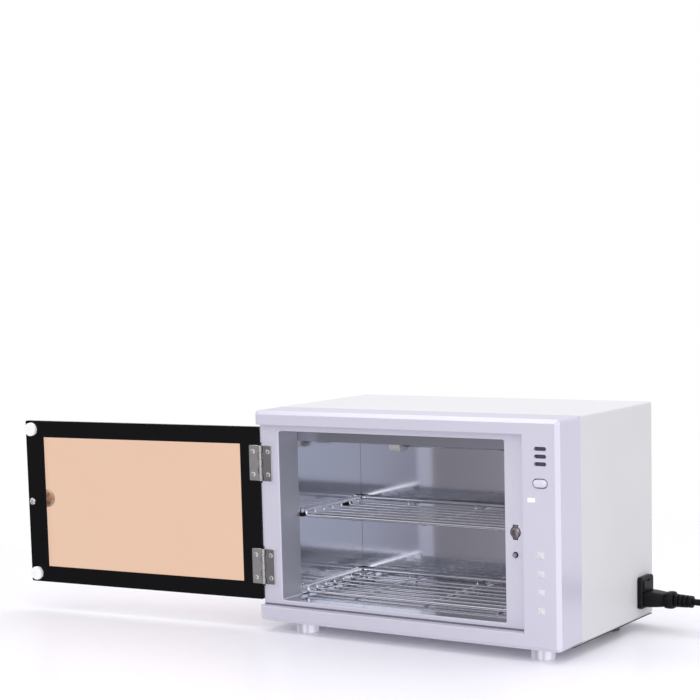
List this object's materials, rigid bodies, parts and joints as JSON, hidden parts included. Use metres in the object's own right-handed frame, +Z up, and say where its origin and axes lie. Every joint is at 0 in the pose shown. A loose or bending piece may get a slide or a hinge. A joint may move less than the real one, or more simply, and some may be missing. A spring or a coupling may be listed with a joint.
{
  "type": "dish sterilizer cabinet",
  "caption": "Table-top ultraviolet sterilizer cabinet: steel case, side-hinged see-through door, two wire racks, lamp behind a baffle, push button column and mains lead.",
  "frame": {"origin": "centre of the footprint of the cabinet with its door open, on the plane the feet stand on, without the mains lead", "axes": "+X to the right seen from the front, +Y to the back, +Z up"},
  "size_m": [0.9462, 0.3392, 0.2423],
  "materials": {
    "bezel_plastic": "satin",
    "case_paint": "satin powder coat",
    "liner_steel": "bright",
    "rack_steel": "bright",
    "screw_steel": "bright",
    "hinge_steel": "bright",
    "foot_plastic": "satin",
    "lamp_glass": "clear",
    "lamp_metal": "satin",
    "holder_plastic": "gloss",
    "ballast_steel": "varnished",
    "board_laminate": "lacquered",
    "black_plastic": "satin",
    "button_plastic": "gloss",
    "lens_plastic": "gloss",
    "stud_plastic": "gloss",
    "led_plastic": "gloss",
    "door_glass": "gloss",
    "border_ink": "gloss",
    "knob_metal": "bright",
    "pad_rubber": "matt",
    "pin_brass": "nickel plated",
    "fuse_glass": "clear",
    "cord_pvc": "satin",
    "tie_fabric": "woven"
  },
  "bodies": {
    "cabinet": {"front_bezel": "bezel_plastic", "accent_studs": "stud_plastic", "outer_wrap": "case_paint", "base_pan": "case_paint", "rear_panel": "case_paint", "rear_screws": "screw_steel", "foot_front_left": "foot_plastic", "foot_front_right": "foot_plastic", "foot_rear_left": "foot_plastic", "foot_rear_right": "foot_plastic", "foot_screws": "screw_steel", "liner_wrap": "liner_steel", "liner_back": "liner_steel", "liner_ceiling": "liner_steel", "lamp_baffle": "liner_steel", "baffle_rivets": "screw_steel", "lamp_holders": "holder_plastic", "lamp_tube": "lamp_glass", "lamp_caps": "lamp_metal", "ballast": "ballast_steel", "ballast_screws": "screw_steel", "starter_socket": "holder_plastic", "starter": "lamp_metal", "control_board": "board_laminate", "board_screws": "screw_steel", "power_switch": "black_plastic", "indicator_lens": "lens_plastic", "indicator_lamp": "led_plastic", "interlock_switch": "black_plastic", "catch_housing": "black_plastic", "catch_magnet": "screw_steel", "hinge_frame_leaf_upper": "hinge_steel", "hinge_frame_leaf_lower": "hinge_steel", "hinge_pins": "hinge_steel", "hinge_frame_screws": "screw_steel", "rack_pegs": "black_plastic", "inlet_body": "black_plastic", "inlet_pins": "pin_brass", "cord_connector": "cord_pvc", "cord_relief": "cord_pvc", "cord_lead": "cord_pvc", "cord_coil": "cord_pvc", "coil_tie": "tie_fabric", "mains_plug": "cord_pvc", "plug_pins": "pin_brass"},
    "door": {"door_panel": "door_glass", "door_border": "border_ink", "door_knob": "knob_metal", "knob_screw": "screw_steel", "bumper_pads": "pad_rubber", "hinge_door_leaf_upper": "hinge_steel", "hinge_door_leaf_lower": "hinge_steel", "hinge_door_screws": "screw_steel"},
    "upper_rack": {"upper_rack": "rack_steel"},
    "lower_rack": {"lower_rack": "rack_steel"},
    "button": {"power_button": "button_plastic"},
    "plunger": {"interlock_plunger": "holder_plastic"},
    "fuse_drawer": {"fuse_drawer": "black_plastic", "fuse": "fuse_glass"}
  },
  "joints": [
    {"name": "door_hinge", "type": "hinge", "parent": "cabinet", "child": "door", "pos_m": [-0.02096, -0.09322, 0.127], "axis": [0, 0, 1], "range_deg": [-4, 175.2]},
    {"name": "upper_rack_slide", "type": "slide", "parent": "cabinet", "child": "upper_rack", "axis": [0, -1, 0], "range_m": [0, 0.038]},
    {"name": "lower_rack_slide", "type": "slide", "parent": "cabinet", "child": "lower_rack", "axis": [0, -1, 0], "range_m": [0, 0.038]},
    {"name": "power_button_push", "type": "slide", "parent": "cabinet", "child": "button", "axis": [0, 1, 0], "range_m": [0, 0.0015], "stiffness_N_per_m": 900, "springref_m": -0.001},
    {"name": "interlock_plunger_push", "type": "slide", "parent": "cabinet", "child": "plunger", "axis": [0, 1, 0], "range_m": [0, 0.002], "stiffness_N_per_m": 500, "springref_m": -0.001},
    {"name": "fuse_drawer_slide", "type": "slide", "parent": "cabinet", "child": "fuse_drawer", "axis": [1, 0, 0], "range_m": [0, 0.012]}
  ]
}
